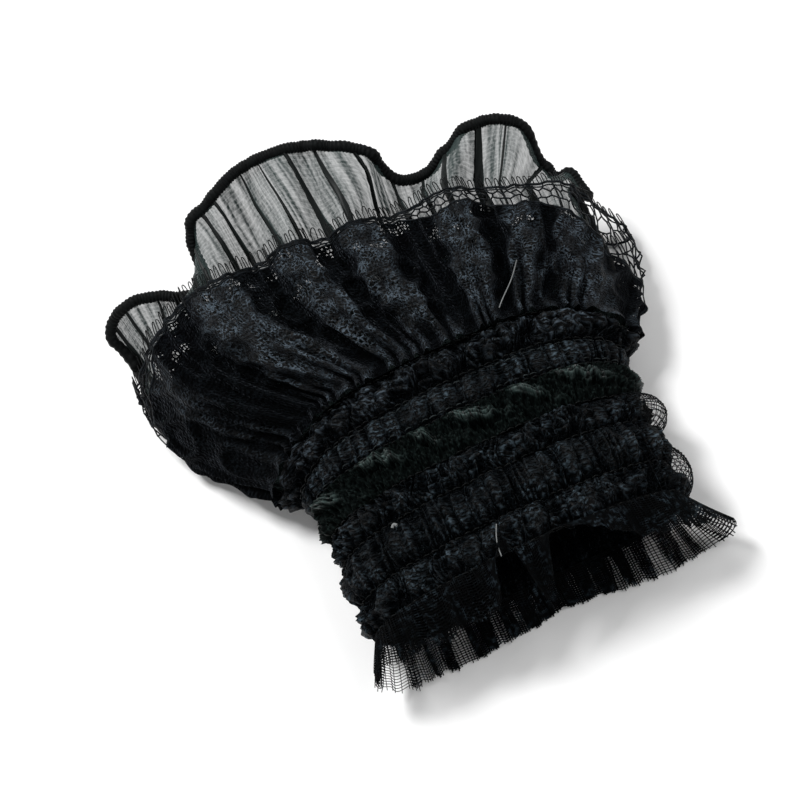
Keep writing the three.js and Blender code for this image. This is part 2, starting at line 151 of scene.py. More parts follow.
# Free edge of the net frill: out of the sleeve's section, how far towards the wrist, and how far
# it hangs over the opening
NET_EDGE = table(
    "at out reach drop",
    (0.000, 1.3, 0.85, 0.0),
    (0.025, 0.5, 0.95, 0.3),
    (0.050, 0.7, 0.90, 0.5),
    (0.085, 0.3, 0.80, 0.6),
    (0.115, 0.6, 0.66, 0.5),
    (0.150, 0.8, 0.42, 0.2),
    (0.180, 0.9, 0.28, 0.0),
    (0.215, 0.8, 0.30, 0.0),
    (0.232, 0.4, 0.88, 0.9),
    (0.252, 0.4, 0.92, 0.8),
    (0.262, 0.6, 0.14, 0.0),
    (0.288, 0.7, 0.16, 0.0),
    (0.303, 0.7, 0.80, 0.6),
    (0.330, 0.2, 0.92, 1.0),
    (0.360, 0.6, 0.86, 0.9),
    (0.390, 0.1, 0.90, 1.0),
    (0.420, 0.6, 0.88, 0.8),
    (0.450, 0.3, 0.92, 0.5),
    (0.480, 0.8, 0.90, 0.2),
    (0.510, 0.9, 0.96, 0.0),
    (0.540, 0.9, 1.02, 0.0),
    (0.580, 0.4, 0.98, 0.0),
    (0.620, 0.9, 1.00, 0.0),
    (0.670, 0.3, 0.95, 0.0),
    (0.720, 0.9, 0.86, 0.0),
    (0.770, 0.3, 0.78, 0.0),
    (0.820, 0.9, 0.84, 0.0),
    (0.870, 0.3, 0.97, 0.0),
    (0.915, 0.9, 1.05, 0.0),
    (0.955, 1.4, 0.95, 0.0),
    (0.980, 1.9, 0.92, 0.0),
)


# Sizes and colours


def length(name, description, default):
    return bpy.props.FloatProperty(
        name=name, description=description, default=default, unit="LENGTH", precision=5
    )


def colour(name, description, default):
    return bpy.props.FloatVectorProperty(
        name=name, description=description, default=default, subtype="COLOR", size=3, min=0, max=1
    )


class CuffSizes(bpy.types.PropertyGroup):
    puff: length("Puff", "How far the gathered rows stand off the sleeve", 0.0042)
    pleat_pitch: length("Pleat pitch", "From one puff of a gathered row to the next", 0.0065)
    fine_pleat: length("Fine pleat", "From one small gather to the next", 0.0017)
    shell_pitch: length("Shell pitch", "From one shell of the ribbon ruche to the next", 0.0124)
    net_length: length("Net frill", "Depth of the net frill round the wrist", 0.0105)
    net_flare: length("Net flare", "How far the net frill spreads at its edge", 0.0046)
    net_drop: length("Net drop", "How far the net frill's upper edge hangs over the opening", 0.0085)
    net_cell: length("Net cell", "From one thread of the square net to the next", 0.0007)
    lace_length: length("Lace", "Depth of the lace frill", 0.038)
    organza_length: length("Organza", "Depth of the organza frill", 0.0576)
    side_dip: length("Side dip", "How far the seam dips towards the wrist at the two sides", 0.011)
    side_swell: length("Side swell", "How much wider the seam is at the two sides", 0.0075)
    spread: length("Spread", "From the middle of the sleeve to the frills' widest edge", 0.070)
    flare_height: length("Flare height", "Height of the highest flute of the lace", 0.0415)
    border: length("Border", "Depth of the openwork border of the lace", 0.0052)
    tuck_pitch: length("Tuck pitch", "From one tuck of the organza to the next, at the seam", 0.0037)
    lash: length("Loops", "Length of the thread loops past the edge of the lace", 0.0040)
    rolled_edge: length("Rolled edge", "Thickness of the overlocked edge of the organza", 0.0028)


class CuffColours(bpy.types.PropertyGroup):
    net: colour("Net", "Black of the gathered net", (0.0022, 0.0032, 0.0040))
    lace: colour("Lace", "Black of the lace", (0.0024, 0.0032, 0.0040))
    ribbon: colour("Ribbon", "Greenish black of the ribbon ruche", (0.0042, 0.0066, 0.0062))
    organza: colour("Organza", "Grey of the see-through frill", (0.0150, 0.0230, 0.0222))
    thread: colour("Thread", "Black of cords and stitches", (0.0014, 0.0018, 0.0019))
    pale: colour("Loose threads", "Grey white of the two loose threads", (0.22, 0.23, 0.23))
    floor: colour("Floor", "The pale ground", (0.90, 0.90, 0.90))


def sizes():
    return bpy.context.scene.cuff_sizes


def colours():
    return bpy.context.scene.cuff_colours


# Curves through the tables and waves round the cuff


def table_curve(edge, column, at):
    """A column of a closed table as a smooth curve, at shares of the way round."""
    knots, values = edge["at"], edge[column]
    knots = np.concatenate([knots[-2:] - 1, knots, knots[:2] + 1])
    values = np.concatenate([values[-2:], values, values[:2]])
    steps = np.diff(knots)
    slopes = np.diff(values) / steps
    tangents = np.zeros_like(values)
    tangents[1:-1] = (slopes[:-1] * steps[1:] + slopes[1:] * steps[:-1]) / (steps[1:] + steps[:-1])
    share = np.mod(at, 1.0)
    k = np.clip(np.searchsorted(knots, share, side="right") - 1, 0, len(steps) - 1)
    t = (share - knots[k]) / steps[k]
    return (
        values[k] * (1 + 2 * t) * (1 - t) ** 2
        + tangents[k] * steps[k] * t * (1 - t) ** 2
        + values[k + 1] * t**2 * (3 - 2 * t)
        + tangents[k + 1] * steps[k] * t**2 * (t - 1)
    )


def smooth(t):
    t = np.clip(t, 0, 1)
    return t * t * (3 - 2 * t)


def waves(at, count, seed, terms=5):
    """Soft waves round the cuff, about count of them, between -1 and 1, drawn from the seed."""
    rng = np.random.default_rng(seed)
    total = np.zeros_like(at)
    for _ in range(terms):
        turns = max(1, round(count * rng.uniform(0.6, 1.5)))
        total = total + np.sin(TURN * (turns * at + rng.uniform()))
    return total / terms**0.5 / 1.5


def folds(at, pitch, seed, jitter=0.35):
    """The phase of gathers of that pitch as turns, unevenly wide by the jitter."""
    count = round(SECTION.girth / pitch)
    return count * at + jitter * waves(at, count / 3, seed)


def crumple(at, y, width, seed, stretch=1.0, terms=9):
    """Soft crossing waves on the cloth about that wide, between -1 and 1, that close round the cuff."""
    rng = np.random.default_rng(seed)
    total = np.zeros(np.broadcast(at, y).shape)
    for _ in range(terms):
        turn, size = rng.uniform(0, TURN), rng.uniform(0.7, 1.4) / width
        turns_round = round(math.cos(turn) * size * SECTION.girth)
        total += np.sin(TURN * (turns_round * at + math.sin(turn) * size / stretch * y + rng.uniform()))
    return total / terms**0.5 / 1.5


def creases(at, y, width, seed, stretch=1.0):
    """Sharp ridges between soft hollows, between -1 and 1."""
    return 1 - 2 * np.minimum(1, 1.3 * np.abs(crumple(at, y, width, seed, stretch)))


# The sleeve's section


class Section:
    """The sleeve's outer section: crowned above and pressed flat below, in even steps."""

    WIDEST, TOP, UNDER, PRESSED = 0.42, 2 / 2.2, 2 / 3.4, 1.06
    STEPS = 3000

    def __init__(self):
        self.width = SLEEVE_WIDTH
        self.height = SLEEVE_HIGH.z - SLEEVE_LOW.z
        self.middle = (SLEEVE_HIGH.x + SLEEVE_LOW.x) / 2
        halves = [self.half(0), self.half(math.pi)]
        self.girth = sum(along[-1] for _, along in halves)
        self.at = np.linspace(0, 1, 2 * self.STEPS + 1)
        places = []
        for points, along in halves:
            even = np.linspace(0, along[-1], self.STEPS + 1)
            places.append(np.stack([np.interp(even, along, points[:, k]) for k in (0, 1)], 1))
        self.points = np.concatenate([places[0], places[1][1:]])
        ahead = np.roll(self.points[:-1], -6, 0) - np.roll(self.points[:-1], 6, 0)
        out = np.stack([ahead[:, 1], -ahead[:, 0]], 1)
        out /= np.linalg.norm(out, axis=1)[:, None]
        self.out = np.concatenate([out, out[:1]])

    def half(self, start):
        turn = start + np.linspace(0, math.pi, self.STEPS + 1)
        across, up = np.cos(turn), np.sin(turn)
        upper = start == 0
        power = self.TOP if upper else self.UNDER
        x = self.width / 2 * np.sign(across) * np.abs(across) ** power
        climb = np.abs(up) ** power
        if upper:
            z = self.WIDEST + (1 - self.WIDEST) * climb
        else:
            z = np.maximum(0, self.WIDEST * (1 - self.PRESSED * climb))
        points = np.stack([x, z * self.height], 1)
        along = np.concatenate([[0], np.cumsum(np.linalg.norm(np.diff(points, axis=0), axis=1))])
        return points, along

    def sample(self, values, at):
        share = np.mod(at, 1.0)
        return np.stack([np.interp(share, self.at, values[:, k]) for k in (0, 1)], -1)

    def press(self, at):
        """1 on the flat underside, 0 on the sides and above."""
        z = self.sample(self.points, at)[..., 1]
        return np.where(np.mod(at, 1.0) < 0.5, 0.0, 1 - smooth(z / (0.3 * self.height)))

    def side(self, at, y):
        """How much a place takes part in the dip and the swell: 1 at the seam's two sides."""
        along = np.clip((y - SLEEVE_LOW.y) / (SEAM - SLEEVE_LOW.y), 0, 1)
        return (beside(at, 0.52, 0.06) + beside(at, 0.98, 0.06)) * along**4

    def place(self, at, out, y):
        """Points out of the section, at places along the cuff."""
        p, n = self.sample(self.points, at), self.sample(self.out, at)
        side = self.side(at, y)
        swell = np.sign(p[..., 0]) * sizes().side_swell * side
        x = self.middle + p[..., 0] + n[..., 0] * out + swell
        z = SLEEVE_LOW.z + p[..., 1] + n[..., 1] * out
        return np.stack(np.broadcast_arrays(x, y - sizes().side_dip * side, np.maximum(z, 0.0002)), -1)


SECTION = Section()


# Mesh making


def new_object(name, data):
    piece = bpy.data.objects.new(name, data)
    bpy.context.scene.collection.objects.link(piece)
    return piece


def mesh_from(name, points, faces, uvs=None):
    """A smooth mesh from arrays of points, quads and one uv pair for each quad's corner."""
    mesh = bpy.data.meshes.new(name)
    mesh.vertices.add(len(points))
    mesh.vertices.foreach_set("co", np.asarray(points, np.float32).ravel())
    count, sides = faces.shape
    mesh.loops.add(count * sides)
    mesh.loops.foreach_set("vertex_index", faces.astype(np.int32).ravel())
    mesh.polygons.add(count)
    mesh.polygons.foreach_set("loop_start", np.arange(0, count * sides, sides, dtype=np.int32))
    mesh.update(calc_edges=True)
    mesh.polygons.foreach_set("use_smooth", np.ones(count, bool))
    if uvs is not None:
        layer = mesh.uv_layers.new(name="UVMap")
        layer.data.foreach_set("uv", np.asarray(uvs, np.float32).ravel())
    mesh.validate()
    return mesh


def cloth_grid(name, points, cut, relief, start=0.0):
    """A closed tube of cloth from points[round][along], with uv in metres on the flat cut.

    cut is the length of the flat cut round the cuff and along it, and start the share along it where
    the points begin. relief is 0 in the hollows and 1 on the crests, for the painted light and shade
    of the material."""
    columns, rows = points.shape[:2]
    i, j = np.meshgrid(np.arange(columns), np.arange(rows - 1), indexing="ij")
    ahead = (i + 1) % columns
    faces = np.stack([i * rows + j, i * rows + j + 1, ahead * rows + j + 1, ahead * rows + j], -1)
    u = cut[0] / columns * np.stack([i, i, i + 1, i + 1], -1)
    v = cut[1] * np.linspace(start, 1, rows)[np.stack([j, j + 1, j + 1, j], -1)]
    corners = np.stack([u, v], -1)
    mesh = mesh_from(name, points.reshape(-1, 3), faces.reshape(-1, 4), corners.reshape(-1, 2))
    values = mesh.attributes.new("relief", "FLOAT", "POINT")
    values.data.foreach_set("value", np.clip(relief, 0, 1).astype(np.float32).ravel())
    return new_object(name, mesh)


def strand_arrays(paths, radius, sides=3, closed=False):
    """Points and quads of round strands along paths[strand][step], of one radius or one a step."""
    paths = np.asarray(paths, float)
    strands, steps = paths.shape[:2]
    if closed:
        along = np.roll(paths, -1, 1) - np.roll(paths, 1, 1)
    else:
        along = np.gradient(paths, axis=1)
    along /= np.linalg.norm(along, axis=2, keepdims=True) + 1e-12
    guide = np.where(np.abs(along[..., 2:]) > 0.9, [[[1.0, 0, 0]]], [[[0, 0, 1.0]]])
    side = np.cross(along, guide)
    side /= np.linalg.norm(side, axis=2, keepdims=True) + 1e-12
    up = np.cross(side, along)
    turn = np.arange(sides) * TURN / sides
    radius = np.broadcast_to(np.asarray(radius, float), (strands, steps))[..., None, None]
    rings = paths[:, :, None] + radius * (
        side[:, :, None] * np.cos(turn)[:, None] + up[:, :, None] * np.sin(turn)[:, None]
    )
    s, i, k = np.meshgrid(
        np.arange(strands),
        np.arange(steps if closed else steps - 1),
        np.arange(sides),
        indexing="ij",
    )
    this, ahead = s * steps + i, s * steps + (i + 1) % steps
    beside = (k + 1) % sides
    faces = np.stack(
        [this * sides + k, this * sides + beside, ahead * sides + beside, ahead * sides + k], -1
    )
    return rings.reshape(-1, 3), faces.reshape(-1, 4)


def joined(name, parts):
    """One object from several pairs of points and quads."""
    points, faces, start = [], [], 0
    for part_points, part_faces in parts:
        points.append(part_points)
        faces.append(part_faces + start)
        start += len(part_points)
    return new_object(name, mesh_from(name, np.concatenate(points), np.concatenate(faces)))


def dress(piece, slot, material, *nodes):
    """The piece's material, body and the CAD nodes that it stands for; slot is not used."""
    piece.data.materials.append(material)
    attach(piece, "root")
    if nodes:
        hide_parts(*nodes)
    return piece


# Materials


class Shading:
    """A material's node tree, with short words for its nodes."""

    def __init__(self, name):
        self.material = bpy.data.materials.new(name)
        self.material.use_nodes = True
        self.tree = self.material.node_tree
        self.shader = self.tree.nodes["Principled BSDF"]

    def node(self, kind, inputs=(), **settings):
        made = self.tree.nodes.new(kind)
        for key, value in settings.items():
            setattr(made, key, value)
        for key, value in dict(inputs).items():
            self.into(made.inputs[key], value)
        return made

    def into(self, socket, value):
        if isinstance(value, bpy.types.NodeSocket):
            self.tree.links.new(value, socket)
        else:
            socket.default_value = value

    def math(self, operation, *values):
        made = self.node("ShaderNodeMath", operation=operation)
        for socket, value in zip(made.inputs, values):
            self.into(socket, value)
        return made.outputs[0]

    def product(self, first, *others):
        for value in others:
            first = self.math("MULTIPLY", first, value)
        return first

    def total(self, first, *others):
        for value in others:
            first = self.math("ADD", first, value)
        return first

    def set(self, **inputs):
        for key, value in inputs.items():
            self.into(self.shader.inputs[key.replace("_", " ")], value)

    def relief(self, low, high, start=0.0, end=1.0):
        """How high a place of the cloth stands, mapped from start..end to low..high."""
        value = self.node("ShaderNodeAttribute", attribute_name="relief").outputs["Fac"]
        return self.ramp(value, low, high, start, end)

    def flat_cut(self):
        """The place on the flat cut, in metres."""
        return self.node("ShaderNodeTexCoord").outputs["UV"]

    def on_cut(self, scale, stretch=1.0):
        vector = self.node("ShaderNodeMapping", {"Scale": (scale, scale / stretch, scale)})
        self.into(vector.inputs["Vector"], self.flat_cut())
        return vector.outputs[0]

    def noise(self, scale, detail=2.0, vector=None):
        made = self.node("ShaderNodeTexNoise", {"Scale": scale, "Detail": detail})
        self.into(made.inputs["Vector"], vector or self.node("ShaderNodeTexCoord").outputs["Object"])
        return made.outputs["Fac"]

    def ramp(self, factor, low, high, start=0.0, end=1.0):
        """A factor mapped from start..end to low..high."""
        made = self.node(
            "ShaderNodeMapRange", {"From Min": start, "From Max": end, "To Min": low, "To Max": high}
        )
        self.into(made.inputs["Value"], factor)
        return made.outputs[0]

    def blend(self, factor, first, second):
        made = self.node("ShaderNodeMix", data_type="RGBA")
        self.into(made.inputs["Factor"], factor)
        made.inputs["A"].default_value = (*first, 1)
        made.inputs["B"].default_value = (*second, 1)
        return made.outputs["Result"]

    def cut_noise(self, scale, stretch=1.0):
        """Fine noise on the flat cut, drawn out along it by stretch."""
        return self.noise(1.0, 2.0, self.on_cut(scale, stretch))

    def tones(self, factor, tone, low, high):
        """The base colour, between two shades of a tone."""
        self.set(Base_Color=self.blend(factor, shade(tone, low), shade(tone, high)))

    def sheen(self, weight, roughness, *tint):
        self.set(Sheen_Weight=weight, Sheen_Roughness=roughness, Sheen_Tint=(*tint, 1))

    def bump(self, height, distance, strength=1.0):
        made = self.node("ShaderNodeBump", {"Distance": distance, "Strength": strength})
        self.into(made.inputs["Height"], height)
        return made.outputs[0]

    def threads(self, pitch, share, axis, sway=0.0):
        """1 on the threads that cross one axis of the flat cut, 0 between them, softly edged.

        pitch is from thread to thread, share the part of it that a thread fills."""
        apart = self.node("ShaderNodeSeparateXYZ", {"Vector": self.flat_cut()}).outputs[axis]
        turns = self.math("ADD", self.math("DIVIDE", apart, pitch), sway)
        phase = self.math("FRACT", turns)
        away = self.math("ABSOLUTE", self.math("SUBTRACT", phase, 0.5))
        return self.ramp(away, 1.0, 0.0, share * 0.35, share * 0.65)

    def net(self, across, along, share, sway=0.0):
        """1 on the threads of a square net, 0 in its cells."""
        return self.math(
            "MAXIMUM", self.threads(across, share, 0, sway), self.threads(along, share, 1, sway)
        )


def shade(tone, factor):
    return tuple(min(1.0, c * factor) for c in tone)


def cloth_material(name, tone, across, along):
    """Black gathered net, with painted highlights on its threads round the dark cells, most on the crests.
    """
    s = Shading(name)
    sway = s.ramp(s.noise(260, 2), -1.6, 1.6, 0.2, 0.8)
    net = s.net(across, along, 0.52, sway)
    grain = s.cut_noise(1300, 1.5)
    patches = s.noise(150, 2)
    # Painted highlight: the threads' base colour is lighter in patches, most on the relief's crests, and
    # stays dark in the hollows as painted shade
    lit = s.product(
        net,
        s.ramp(grain, 0.0, 1.0, 0.45, 0.66),
        s.ramp(patches, 0.25, 1.0, 0.4, 0.62),
        s.relief(0.04, 1.0, 0.3, 0.95),
    )
    s.tones(lit, tone, 0.15, 26.0)
    s.set(Roughness=s.ramp(grain, 0.45, 0.66, 0.3, 0.7))
    s.sheen(0.02, 0.4, 0.75, 0.88, 1.0)
    height = s.total(s.product(net, 2.0), s.product(grain, 1.5))
    s.set(Specular_IOR_Level=s.relief(0.0, 0.10, 0.3, 0.9), Normal=s.bump(height, 0.0005, 1.0))
    return s.material


def net_thread_material(name, tone):
    """The net's bare threads: mostly black, with painted highlights in specks."""
    s = Shading(name)
    grain = s.noise(900, 2)
    patches = s.noise(140, 2)
    # Painted highlights: specks of lighter base colour, in patches
    painted_glints = s.product(s.ramp(grain, 0.0, 1.0, 0.5, 0.7), s.ramp(patches, 0.1, 1.0, 0.45, 0.7))
    s.tones(painted_glints, tone, 0.3, 16.0)
    s.set(Roughness=0.65, Specular_IOR_Level=0.05)
    return s.material


def lace_material(name, tone):
    """Lace ground: uneven round cells between threads, with closer woven patches and painted highlights on
    its threads.
    """
    s = Shading(name)
    cells = s.node(
        "ShaderNodeTexVoronoi",
        {"Scale": 1.0, "Randomness": 0.6, "Vector": s.on_cut(1000)},
        feature="DISTANCE_TO_EDGE",
        voronoi_dimensions="2D",
    )
    woven = s.cut_noise(190)
    close = s.ramp(woven, 0.0, 1.0, 0.36, 0.46)
    reach = s.ramp(close, 0.24, 0.60)
    s.set(Alpha=s.math("LESS_THAN", cells.outputs["Distance"], reach))
    grain = s.cut_noise(900)
    away = s.math("ABSOLUTE", s.math("SUBTRACT", grain, 0.5))
    # Painted highlights: curly lit lines on the threads, in patches, most on the crests
    curly_highlights = s.ramp(away, 1.0, 0.0, 0.015, 0.06)
    patches = s.noise(300, 2)
    lit = s.product(curly_highlights, s.ramp(patches, 0.15, 1.0, 0.42, 0.6), s.relief(0.05, 1.0, 0.3, 0.9))
    s.tones(lit, tone, 0.15, 26.0)
    s.sheen(0.04, 0.4, 0.75, 0.85, 1.0)
    s.set(Roughness=s.ramp(grain, 0.5, 0.75), Specular_IOR_Level=s.relief(0.01, 0.14, 0.3, 0.9))
    height = s.total(s.product(cells.outputs["Distance"], -1.5), s.product(grain, 2.0))
    s.set(Normal=s.bump(height, 0.0004, 0.9))
    return s.material


def organza_material(name, tone):
    """Fine sheer weave: a little denser in streaks along the pleats."""
    s = Shading(name)
    streaks = s.node("ShaderNodeMapping", {"Scale": (700, 60, 1)})
    s.into(streaks.inputs["Vector"], s.flat_cut())
    density = s.noise(1.0, 2.0, streaks.outputs[0])
    weave = s.threads(0.00075, 0.9, 1)
    dots = s.ramp(s.cut_noise(1500), -0.06, 0.06, 0.35, 0.65)
    plain = s.total(s.ramp(density, 0.58, 0.88, 0.36, 0.68), s.product(weave, 0.10))
    # The tucks are denser, and their base colour is painted darker as shade
    tuck = s.relief(0.0, 1.0, 0.02, 0.12)
    s.set(Alpha=s.math("MAXIMUM", s.total(plain, dots), tuck))
    s.tones(tuck, tone, 1.6, 0.25)
    s.sheen(0.12, 0.3, 0.8, 0.95, 0.92)
    s.set(Roughness=s.ramp(density, 0.42, 0.6), Specular_IOR_Level=0.15)
    return s.material


def ribbon_material(name, tone):
    """Ribbon with a painted greenish sheen on its shells, over a faint sheen of its own, and painted shade
    between them.
    """
    s = Shading(name)
    fibres = s.cut_noise(900, 4.0)
    # Painted sheen: the shells' base colour is lighter from the relief, along the fibres
    shell = s.relief(0.05, 1.0, 0.35, 0.95)
    lit = s.product(shell, s.ramp(fibres, 0.05, 1.0, 0.40, 0.62))
    # The net between the shells is painted lighter, and darker in deep wrinkles and on the pressed underside
    # as painted shade
    ground = s.ramp(s.cut_noise(1300, 1.5), 0.0, 0.2, 0.45, 0.66)
    ground = s.product(ground, s.relief(0.2, 1.0, -0.1, 0.25))
    lit = s.math("MAXIMUM", lit, s.product(s.net(0.0021, 0.0012, 0.5), ground))
    s.tones(lit, tone, 0.1, 11.0)
    s.set(Roughness=s.ramp(fibres, 0.34, 0.5, 0.3, 0.7), Specular_IOR_Level=s.relief(0.01, 0.22, 0.4, 0.9))
    s.sheen(0.02, 0.3, 0.75, 1.0, 0.92)
    s.set(Normal=s.bump(fibres, 0.0004, 0.9))
    return s.material


def thread_material(name, tone, light=5.0):
    """Spun thread, with its twist as bump."""
    s = Shading(name)
    fibres = s.noise(900, 3)
    s.tones(s.ramp(fibres, 0, 1, 0.35, 0.75), tone, 0.7, light)
    s.set(Roughness=s.ramp(fibres, 0.5, 0.75), Sheen_Weight=0.05, Sheen_Roughness=0.4)
    s.set(Specular_IOR_Level=0.08, Normal=s.bump(fibres, 0.0002, 0.6))
    return s.material


# Where things lie along the cuff


# How far the lace and the organza lie out of the sleeve's section at their seam
LACE_LAYER, ORGANZA_LAYER = 0.0029, 0.0004

# How fine the cloths are, round the cuff and along it, and the share where the organza begins
SLEEVE_GRID, RIBBON_GRID, LACE_GRID, ORGANZA_GRID = (720, 40), (1300, 30), (1500, 40), (2000, 24, 0.02)
ROW_COUNT, ROW_STEP, EDGE_STEPS = 1100, 0.00042, 2400

# Radii of the threads
NET_LONG_WAY, NET_ROUND_WAY, PUFF_THREAD = 0.00013, 0.00012, 0.00011
STITCH, LOOP, LINT = 0.00016, 0.00016, 0.00036
CELL_RING, CELL_POST, EDGE_CORD = 0.00024, 0.00022, 0.00038

# From one stitch and one loop of the lace's edge to the next, and half of a loop's width
STITCH_PITCH, LOOP_PITCH, LOOP_HALF = 0.0021, 0.0019, 0.00046

# How far the organza follows the lace past its edge, and how far its tucks then fan out on top, as a
# share of the way round
PAST_EDGE, FAN = 0.0024, 0.027


def beside(at, place, width):
    """1 at that share of the way round, falling away on both sides of it."""
    away = np.mod(at - place + 0.5, 1.0) - 0.5
    return np.exp(-((away / width) ** 2))


def lace_end(at):
    return SEAM + sizes().lace_length * table_curve(LACE_EDGE, "reach", at)


def organza_end(at):
    """Where the organza ends, which is under the lace at the cuff's two sides."""
    reach = table_curve(ORGANZA_EDGE, "reach", at)
    hidden = smooth(1.6 * beside(at, 0.985, 0.04)) * 0.30 + smooth(1.6 * beside(at, 0.53, 0.03)) * 0.34
    return SEAM + sizes().organza_length * (reach - hidden)


def edge_place(edge, at, y):
    """Points on the free edge that a table gives, at places along the cuff."""
    s = sizes()
    x = SECTION.middle + s.spread * table_curve(edge, "across", at)
    return np.stack([x, y, np.maximum(s.flare_height * table_curve(edge, "height", at), 0.0006)], -1)


def flare(at, y):
    """The lace's surface: it rises fast at its foot and slowly at its free edge."""
    foot = SECTION.place(at, LACE_LAYER, np.full_like(at, SLEEVE_HIGH.y))
    straight = SECTION.place(at, LACE_LAYER, np.minimum(y, SLEEVE_HIGH.y))
    end = lace_end(at)
    edge = edge_place(LACE_EDGE, at, end)
    share = np.maximum(y - SLEEVE_HIGH.y, 0) / (end - SLEEVE_HIGH.y)
    opened = 1 - np.clip(1 - share, 0, 1) ** 2
    p = straight + (edge - foot) * opened[..., None]
    p[..., 1] = straight[..., 1] + (edge - foot)[..., 1] * share
    return p


def pushed(surface, at, along, push, clear):
    """Points of a surface moved out along its normal, and kept off the floor."""
    step_round, step_along = 0.0015, 0.02
    round_way = surface(at + step_round, along) - surface(at - step_round, along)
    along_way = surface(at, along + step_along) - surface(at, along - step_along)
    normal = np.cross(along_way, round_way)
    normal /= np.linalg.norm(normal, axis=-1, keepdims=True) + 1e-12
    points = surface(at, along) + normal * push[..., None]
    points[..., 2] = np.maximum(points[..., 2], clear)
    return points


def grid_shares(columns, rows, start=0.0):
    """Shares of the way round the cuff and along a piece, for a grid."""
    return np.meshgrid(np.arange(columns) / columns, np.linspace(start, 1, rows), indexing="ij")


def edge_length(points):
    return float(np.linalg.norm(np.diff(points, axis=0), axis=1).sum())


# Pieces


class CuffOperator:
    """One step of the cuff, whose build method makes its pieces."""

    bl_options = {"REGISTER", "UNDO"}

    def execute(self, context):
        self.build()
        return {"FINISHED"}


class CUFF_OT_sleeve(CuffOperator, bpy.types.Operator):
    """The shirred elastic tube, seen inside the cuff"""

    bl_idname = "cuff.sleeve"
    bl_label = "Sleeve"

    def build(self):
        at, along = grid_shares(*SLEEVE_GRID)
        y = SLEEVE_LOW.y + along * (SLEEVE_HIGH.y - SLEEVE_LOW.y)
        shirring = np.cos(TURN * folds(at, 0.0032, 11)) * 0.0004
        rows = np.cos(TURN * along * 9) * 0.0004
        points = SECTION.place(at, -0.0011 + shirring + rows, y)
        # Its relief follows the shirring's crests, which the material paints lighter as painted highlight
        piece = cloth_grid("sleeve_cloth", points, (SECTION.girth * 1.6, 0.06), 0.25 + 500 * shirring)
        dress(piece, "net", cloth_material("shirred_net", colours().net, 0.0018, 0.0011), "sleeve")


# A row for each gathered row: its relief in shares of the puff, its puffs' pitch in shares of the
# pleat pitch, the slant of its folds in turns, how deep its small gathers and its creases are, how
# uneven its puffs are, and its seed
ROW_COLUMNS = "high pitch slant fine crease uneven seed".split()
ROW_LOOKS = {
    "hem_gathers": (0.72, 0.80, 0.30, 0.0005, 0.0009, 0.50, 21),
    "pleated_net_ruche": (0.98, 0.55, 0.08, 0.0007, 0.0005, 0.35, 22),
    "small_ruche": (0.75, 0.62, 0.50, 0.0005, 0.0010, 0.50, 23),
    "stitched_band": (0.50, 0.62, 0.10, 0.0004, 0.0003, 0.30, 25),
    "lace_heading": (0.95, 0.85, 0.60, 0.0005, 0.0010, 0.50, 26),
}

# Widths of the rows, from the wrist opening to the frills, the gap between two rows, and how far the
# cloth of a row reaches into it
ROW_GAP, ROW_OVERLAP = 0.0005, 0.0003
ROW_WIDTHS = {
    "hem_gathers": 0.0080,
    "pleated_net_ruche": 0.0110,
    "small_ruche": 0.0074,
    "ribbon_ruche": 0.0098,
    "stitched_band": 0.0076,
    "lace_heading": 0.0080,
}


def row_ends(node):
    widths = list(ROW_WIDTHS.values())[: list(ROW_WIDTHS).index(node)]
    start = SLEEVE_LOW.y + sum(widths) + ROW_GAP * (len(widths) + 1)
    return start - ROW_OVERLAP, start + ROW_WIDTHS[node] + ROW_OVERLAP


def gathered_row(node, look):
    """A closed band of gathers between two lines of stitching."""
    s = sizes()
    start, end = row_ends(node)
    steps = round((end - start) / ROW_STEP) + 1
    at, along = grid_shares(ROW_COUNT, steps)
    sway = 0.0007 * waves(at, 9, look["seed"] + 40)
    y = start + along * (end - start) + sway * np.sin(math.pi * along) + sway * 0.5
    crown = np.sin(math.pi * np.clip(along, 0, 1)) ** 0.55
    slant = look["slant"] * (along - 0.5)
    puff = folds(at, s.pleat_pitch * look["pitch"], look["seed"], look["uneven"]) + slant
    uneven = 1 - 0.3 * look["uneven"] + 0.5 * look["uneven"] * waves(at, 14, look["seed"] + 4)
    big = np.abs(np.cos(math.pi * puff)) ** 0.8 * uneven
    small = 1 - 2 * np.abs(np.cos(math.pi * (folds(at, s.fine_pleat, look["seed"] + 1, 0.9) + slant * 2)))
    crease = creases(at, y, 0.0042, look["seed"] + 2, 1.6)
    crease = crease + 0.6 * creases(at, y, 0.0019, look["seed"] + 3, 1.4)
    high = s.puff * look["high"]
    out = high * crown * (0.12 + 0.86 * big) + look["fine"] * small * (0.3 + 0.7 * crown)
    out = out + look["crease"] * crease * (0.3 + 0.7 * crown)
    # relief: lighter on the puffs' crests and darker in the hollows, as painted light and shade in the
    # material
    relief = 0.15 + crown * big**1.3 * 0.7 + 0.3 * small + 0.2 * crease * look["crease"] / 0.0008
    swing = 0.3 * s.pleat_pitch * look["pitch"] / SECTION.girth * np.sin(TURN * puff) * crown
    press = SECTION.press(at)
    resting = SLEEVE_LOW.z - 0.0006 + 0.4 * look["crease"] * crease
    out = np.maximum(out, 0.0003) * (1 - press) + press * resting
    points = SECTION.place(at + swing * (1 - press), 0.0002 + out, y)
    return cloth_grid(node + "_cloth", points, (SECTION.girth * 1.8, (end - start) * 1.3), relief)


